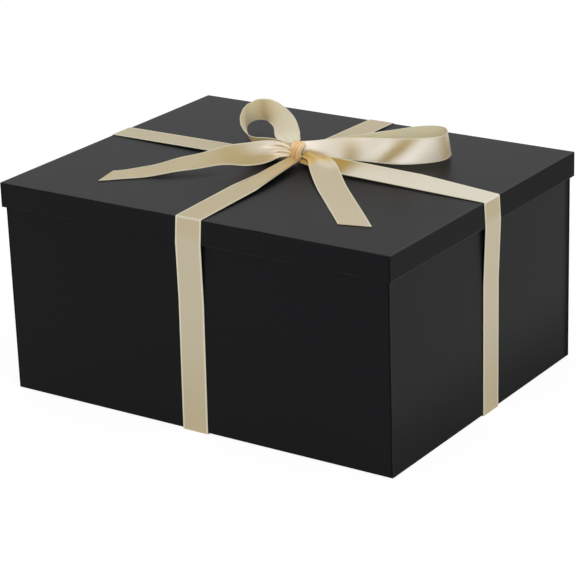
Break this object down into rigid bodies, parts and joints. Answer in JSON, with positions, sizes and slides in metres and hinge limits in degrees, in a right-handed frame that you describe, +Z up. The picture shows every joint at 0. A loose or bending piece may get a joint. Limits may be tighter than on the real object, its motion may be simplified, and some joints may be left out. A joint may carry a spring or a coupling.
{
  "type": "gift box",
  "caption": "Rigid rectangular gift box wrapped in matte black paper, with a shallow lift-off lid, tied both ways with a cream satin ribbon that ends in a bow on top.",
  "frame": {"origin": "on the surface the box stands on, under the middle of the lid", "axes": "+X along the long front, to the right as seen from the front; +Y to the back; +Z up"},
  "size_m": [0.341, 0.2678, 0.1931],
  "materials": {
    "black_paper": "soft-touch matte black wrapping paper",
    "greyboard": "plain grey packaging board",
    "stay_paper": "gummed kraft paper",
    "satin_ribbon": "cream satin"
  },
  "bodies": {
    "base": {"base_floor_board": "greyboard", "base_front_wall": "greyboard", "base_back_wall": "greyboard", "base_left_wall": "greyboard", "base_right_wall": "greyboard", "base_corner_stays": "stay_paper", "base_wrap": "black_paper", "base_bottom_sheet": "black_paper", "base_floor_lining": "black_paper", "base_wall_lining": "black_paper", "ribbon_under_lengthwise": "satin_ribbon", "ribbon_under_crosswise": "satin_ribbon", "ribbon_front_wall": "satin_ribbon", "ribbon_back_wall": "satin_ribbon", "ribbon_left_wall": "satin_ribbon", "ribbon_right_wall": "satin_ribbon"},
    "lid": {"lid_top_board": "greyboard", "lid_front_rim": "greyboard", "lid_back_rim": "greyboard", "lid_left_rim": "greyboard", "lid_right_rim": "greyboard", "lid_corner_stays": "stay_paper", "lid_wrap": "black_paper", "lid_lining": "black_paper", "ribbon_front_top": "satin_ribbon", "ribbon_back_top": "satin_ribbon", "ribbon_left_top": "satin_ribbon", "ribbon_right_top": "satin_ribbon", "bow_knot": "satin_ribbon", "bow_loop_left": "satin_ribbon", "bow_loop_right": "satin_ribbon", "bow_tail_left": "satin_ribbon", "bow_tail_right": "satin_ribbon"}
  },
  "joints": [
    {"name": "lid_lift", "type": "slide", "parent": "base", "child": "lid", "axis": [0, 0, 1], "range_m": [0, 0.2]}
  ]
}
